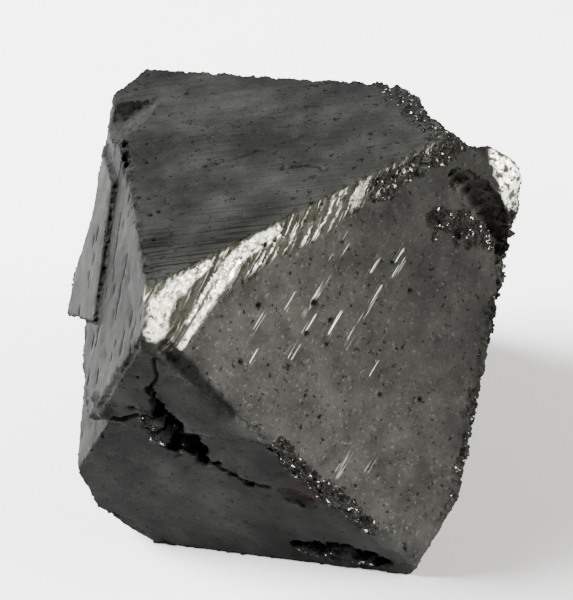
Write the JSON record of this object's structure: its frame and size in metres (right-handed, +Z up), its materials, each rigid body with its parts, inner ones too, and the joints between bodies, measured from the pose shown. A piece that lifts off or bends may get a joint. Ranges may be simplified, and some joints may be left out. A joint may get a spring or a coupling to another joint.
{
  "type": "scheelite specimen",
  "caption": "Loose dark submetallic octahedral mineral crystal with growth ledges, worn ragged edges, hollows and small parallel crystals, resting flat on its lowest crystal face",
  "frame": {"origin": "middle of the bounding box at the level the specimen rests on", "axes": "+Z up, square to the flat top face and the resting face; -Y is the front, towards the sharp corner between the top and the two front faces; +X to the right, along the long side"},
  "size_m": [0.0406, 0.0368, 0.0327],
  "materials": {
    "dark_mineral": "dark grey to black submetallic crystal, satin on the faces, granular and glittering on the worn edges"
  },
  "bodies": {
    "root": {"crystal": "dark_mineral"}
  },
  "joints": []
}
